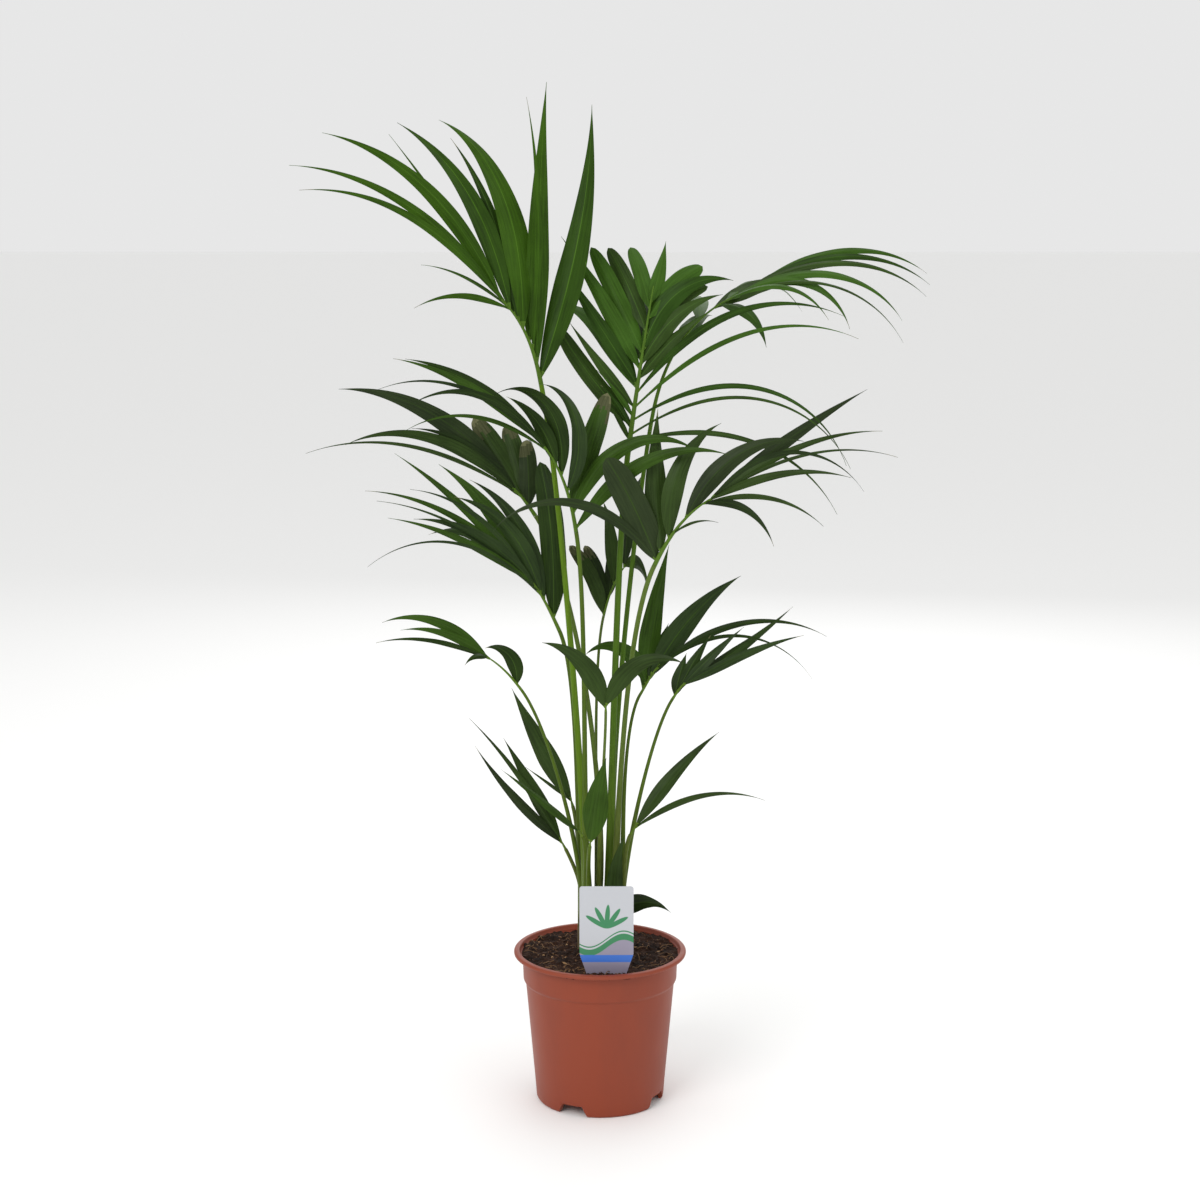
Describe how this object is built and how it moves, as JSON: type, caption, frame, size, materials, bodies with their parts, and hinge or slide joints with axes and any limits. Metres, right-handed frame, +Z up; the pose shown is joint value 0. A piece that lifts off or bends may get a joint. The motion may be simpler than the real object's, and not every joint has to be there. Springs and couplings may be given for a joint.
{
  "type": "potted palm",
  "caption": "Feather palm in a round nursery pot: slender green stems, arching fronds of long narrow leaflets, and a plastic care label standing in the soil.",
  "frame": {"origin": "centre of the pot's flat underside", "axes": "+Z up along the pot and the stems, -Y towards the side that carries the care label, +X to its right"},
  "size_m": [0.6643, 0.4279, 1.1055],
  "materials": {
    "pot": "terracotta-coloured moulded plastic, satin",
    "soil": "moist dark peat with bark and fibres",
    "care_label": "printed plastic card, light grey with green and blue bands",
    "stem": "green leaf sheaths with brown edges",
    "petiole": "smooth yellow-green leaf stalk",
    "frond": "dark green ribbed leaflets, slightly glossy above"
  },
  "bodies": {
    "root": {"pot": "pot", "soil": "soil", "care_label": "care_label", "stem_left": "stem", "stem_back_left": "stem", "stem_middle": "stem", "stem_right": "stem", "stem_far_right": "stem", "stem_front": "stem", "petiole_high_left": "petiole", "petiole_high_middle": "petiole", "petiole_high_right": "petiole", "petiole_upper_left": "petiole", "petiole_outer_left": "petiole", "petiole_mid_left": "petiole", "petiole_low_outer_left": "petiole", "petiole_blade_left": "petiole", "petiole_foot_left": "petiole", "petiole_strap_left": "petiole", "petiole_blade_front": "petiole", "petiole_young_front": "petiole", "petiole_foot_right": "petiole", "petiole_low_right": "petiole", "petiole_mid_right": "petiole", "petiole_front": "petiole", "petiole_back": "petiole", "petiole_upper_right": "petiole", "frond_high_left": "frond", "frond_high_middle": "frond", "frond_high_right": "frond", "frond_upper_left": "frond", "frond_outer_left": "frond", "frond_mid_left": "frond", "frond_low_outer_left": "frond", "frond_blade_left": "frond", "frond_foot_left": "frond", "frond_strap_left": "frond", "frond_blade_front": "frond", "frond_young_front": "frond", "frond_foot_right": "frond", "frond_low_right": "frond", "frond_mid_right": "frond", "frond_front": "frond", "frond_back": "frond", "frond_upper_right": "frond"}
  },
  "joints": []
}
